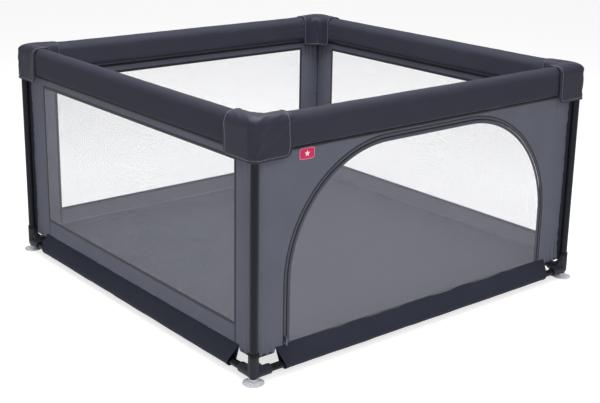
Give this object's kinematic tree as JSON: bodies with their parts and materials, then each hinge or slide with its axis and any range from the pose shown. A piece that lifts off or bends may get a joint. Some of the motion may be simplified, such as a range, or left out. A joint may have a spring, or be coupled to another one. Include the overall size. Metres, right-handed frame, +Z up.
{
  "type": "playpen",
  "caption": "Square playpen with a tube frame, padded top rails, mesh windows and an arched zip-up mesh door.",
  "frame": {"origin": "on the ground at the middle of the pen's footprint", "axes": "+Z up, -Y towards the wall with the door, +X to the right when facing that wall"},
  "size_m": [1.235, 1.235, 0.667],
  "materials": {
    "post_steel": "charcoal powder coat, satin",
    "rail_steel": "black powder coat",
    "connector_plastic": "moulded charcoal plastic, fine texture",
    "collar_rubber": "black rubber",
    "cup_rubber": "milky translucent soft vinyl",
    "cap_fabric": "charcoal coated oxford cloth over thin padding",
    "rail_fabric": "charcoal coated oxford cloth, slight sheen",
    "wall_fabric": "slate grey plain-weave polyester",
    "floor_fabric": "slate grey oxford cloth",
    "mesh": "fine see-through polyester mesh",
    "piping": "dark folded binding tape",
    "zip_tape": "dark woven zip tape with a nylon coil",
    "slider_metal": "dark enamelled zinc",
    "label": "crimson woven label",
    "foam": "closed-cell foam"
  },
  "bodies": {
    "pen": {"post_front_left": "post_steel", "base_connector_front_left": "connector_plastic", "suction_cup_front_left": "cup_rubber", "top_connector_front_left": "connector_plastic", "corner_cap_front_left": "cap_fabric", "post_front_right": "post_steel", "base_connector_front_right": "connector_plastic", "suction_cup_front_right": "cup_rubber", "top_connector_front_right": "connector_plastic", "corner_cap_front_right": "cap_fabric", "post_back_right": "post_steel", "base_connector_back_right": "connector_plastic", "suction_cup_back_right": "cup_rubber", "top_connector_back_right": "connector_plastic", "corner_cap_back_right": "cap_fabric", "post_back_left": "post_steel", "base_connector_back_left": "connector_plastic", "suction_cup_back_left": "cup_rubber", "top_connector_back_left": "connector_plastic", "corner_cap_back_left": "cap_fabric", "post_collars": "collar_rubber", "bottom_rail_front": "rail_steel", "top_rail_front": "rail_steel", "rail_foam_front": "foam", "rail_sleeve_front": "rail_fabric", "bottom_sleeve_front": "rail_fabric", "bottom_rail_right": "rail_steel", "top_rail_right": "rail_steel", "rail_foam_right": "foam", "rail_sleeve_right": "rail_fabric", "bottom_sleeve_right": "rail_fabric", "bottom_rail_back": "rail_steel", "top_rail_back": "rail_steel", "rail_foam_back": "foam", "rail_sleeve_back": "rail_fabric", "bottom_sleeve_back": "rail_fabric", "bottom_rail_left": "rail_steel", "top_rail_left": "rail_steel", "rail_foam_left": "foam", "rail_sleeve_left": "rail_fabric", "bottom_sleeve_left": "rail_fabric", "rail_couplers": "rail_steel", "wall_fabric_left": "wall_fabric", "window_binding_left": "piping", "window_mesh_left": "mesh", "wall_fabric_back": "wall_fabric", "window_binding_back": "piping", "window_mesh_back": "mesh", "wall_fabric_right": "wall_fabric", "window_binding_right": "piping", "window_mesh_right": "mesh", "front_panel": "wall_fabric", "zip_tape_panel": "zip_tape", "sewn_label": "label", "floor_sheet": "floor_fabric"},
    "door": {"door_mesh": "mesh", "zip_tape_door": "zip_tape"},
    "zip_slider": {"zip_slider": "slider_metal"},
    "pull_tab": {"pull_tab": "slider_metal"}
  },
  "joints": [
    {"name": "door_hinge", "type": "hinge", "parent": "pen", "child": "door", "pos_m": [0, -0.576, 0.0706], "axis": [1, 0, 0], "range_deg": [0, 95]},
    {"name": "zip_slide", "type": "slide", "parent": "pen", "child": "zip_slider", "axis": [0, 0, 1], "range_m": [0, 0.13]},
    {"name": "tab_swing", "type": "hinge", "parent": "zip_slider", "child": "pull_tab", "pos_m": [-0.48165, -0.5818, 0.0845], "axis": [-1, 0, 0], "range_deg": [0, 150]}
  ]
}
